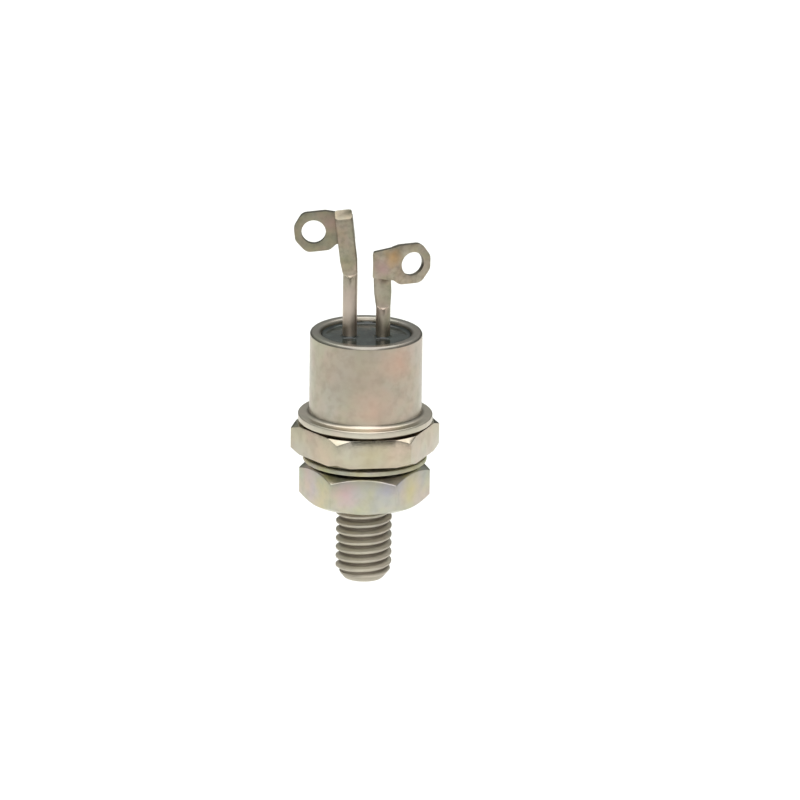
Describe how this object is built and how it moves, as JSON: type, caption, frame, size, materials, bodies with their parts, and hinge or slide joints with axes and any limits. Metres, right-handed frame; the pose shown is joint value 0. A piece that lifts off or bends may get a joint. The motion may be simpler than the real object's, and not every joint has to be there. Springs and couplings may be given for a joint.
{
  "type": "stud-mount thyristor",
  "caption": "Stud-mount thyristor: sealed metal can with glass-sealed eyelet terminals on a hexagon base with a threaded stud, lock washer and nut.",
  "frame": {"origin": "centre of the seat: the underside of the base hexagon, on the stud's axis", "axes": "+Z along the stud's axis from the seat towards the can and the terminals; -Y is the side seen in the picture; -X is the cathode terminal's side"},
  "size_m": [0.0128, 0.012, 0.033],
  "materials": {
    "plated_copper": "satin nickel plate over copper",
    "weld_steel": "dull welded steel",
    "plated_steel": "satin nickel plate over drawn steel",
    "seal_glass": "dark fused sealing glass",
    "tinned_metal": "dull tin plate",
    "molybdenum": "ground",
    "silicon": "lapped silicon",
    "lead_wire": "tinned copper wire",
    "zinc_passivate": "zinc plate with a thin iridescent yellow passivate"
  },
  "bodies": {
    "device": {"stud_base": "plated_copper", "weld_ring": "weld_steel", "cap": "plated_steel", "glass_seal": "seal_glass", "cathode_tube": "tinned_metal", "gate_tube": "tinned_metal", "cathode_lug": "tinned_metal", "gate_lug": "tinned_metal", "base_plate": "molybdenum", "pellet": "silicon", "cathode_plate": "molybdenum", "cathode_lead": "lead_wire", "gate_lead": "lead_wire"},
    "washer": {"lock_washer": "zinc_passivate"},
    "nut": {"hex_nut": "zinc_passivate"}
  },
  "joints": [
    {"name": "washer_slide", "type": "slide", "parent": "device", "child": "washer", "axis": [0, 0, -1], "range_m": [0, 0.00635]},
    {"name": "nut_turn", "type": "hinge", "parent": "washer", "child": "nut", "pos_m": [0, 0, 0], "axis": [0, 0, -1], "range_deg": [0, 2882]}
  ],
  "couplings": [
    {"joint": "nut_turn", "follows": "washer_slide", "rad_per_m": 7915.8}
  ]
}
